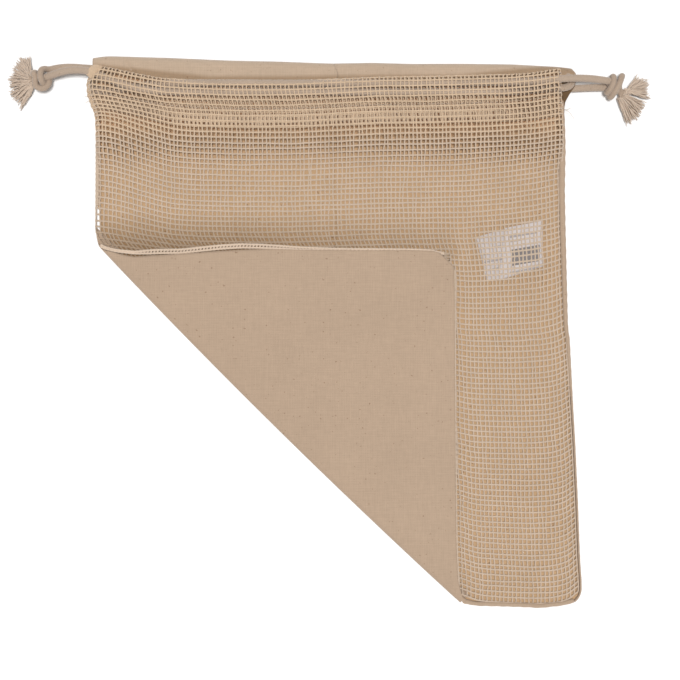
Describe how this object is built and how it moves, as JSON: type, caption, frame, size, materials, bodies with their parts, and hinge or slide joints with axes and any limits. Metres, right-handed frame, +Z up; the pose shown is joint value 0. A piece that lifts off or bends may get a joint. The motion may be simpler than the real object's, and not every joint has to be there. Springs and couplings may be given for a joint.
{
  "type": "mesh produce bag",
  "caption": "Flat drawstring produce bag with an open net front, a woven cotton back, two tasselled cords along its mouth and one corner folded over.",
  "frame": {"origin": "on the floor, in the middle of the bag's own box without its drawstrings", "axes": "+Y from the bag's bottom towards its mouth, +X to the right as it lies with the net up, +Z up from the cotton back through the net"},
  "size_m": [0.4102, 0.3527, 0.018],
  "materials": {
    "cotton": "matt plain weave, unbleached",
    "net": "open square net of cotton yarn",
    "seam": "turned-in cloth edge",
    "thread": "cotton sewing thread",
    "label": "white woven tape",
    "cord": "soft round cotton cord",
    "fray": "loose cotton yarns"
  },
  "bodies": {
    "bag": {"back_panel": "cotton", "front_net_panel": "net", "left_side_seam": "seam", "right_side_seam": "seam", "bottom_seam": "seam", "back_casing": "cotton", "front_casing": "net", "back_casing_stitching": "thread", "front_casing_stitching": "thread", "label_front_leaf": "label", "label_back_leaf": "label", "label_stitching": "thread"},
    "left_mouth_end": {"front_casing_left_end": "net", "back_casing_left_end": "cotton"},
    "right_mouth_end": {"front_casing_right_end": "net", "back_casing_right_end": "cotton"},
    "left_drawstring": {"left_drawstring": "cord", "left_knot": "cord", "left_tassel": "fray"},
    "right_drawstring": {"right_drawstring": "cord", "right_knot": "cord", "right_tassel_upper": "fray", "right_tassel_lower": "fray"},
    "corner_flap": {"flap_back_panel": "cotton", "flap_front_net": "net", "flap_side_seam": "seam", "flap_bottom_seam": "seam"}
  },
  "joints": [
    {"name": "left_cord_pull", "type": "slide", "parent": "bag", "child": "left_drawstring", "axis": [-1, 0, 0], "range_m": [0, 0.045]},
    {"name": "right_end_gather", "type": "slide", "parent": "bag", "child": "right_mouth_end", "axis": [-1, 0, 0], "range_m": [0, 0.045], "deforming": ["back_casing", "front_casing", "back_casing_stitching", "front_casing_stitching"]},
    {"name": "right_cord_pull", "type": "slide", "parent": "bag", "child": "right_drawstring", "axis": [1, 0, 0], "range_m": [0, 0.045]},
    {"name": "left_end_gather", "type": "slide", "parent": "bag", "child": "left_mouth_end", "axis": [1, 0, 0], "range_m": [0, 0.045]},
    {"name": "corner_fold", "type": "hinge", "parent": "bag", "child": "corner_flap", "pos_m": [-0.03335, -0.05615, 0.00295], "axis": [0.7121, -0.7021, 0], "range_deg": [0, 179]}
  ],
  "couplings": [
    {"joint": "right_end_gather", "follows": "left_cord_pull", "ratio": 1},
    {"joint": "right_cord_pull", "follows": "left_cord_pull", "ratio": 1},
    {"joint": "left_end_gather", "follows": "left_cord_pull", "ratio": 1}
  ]
}
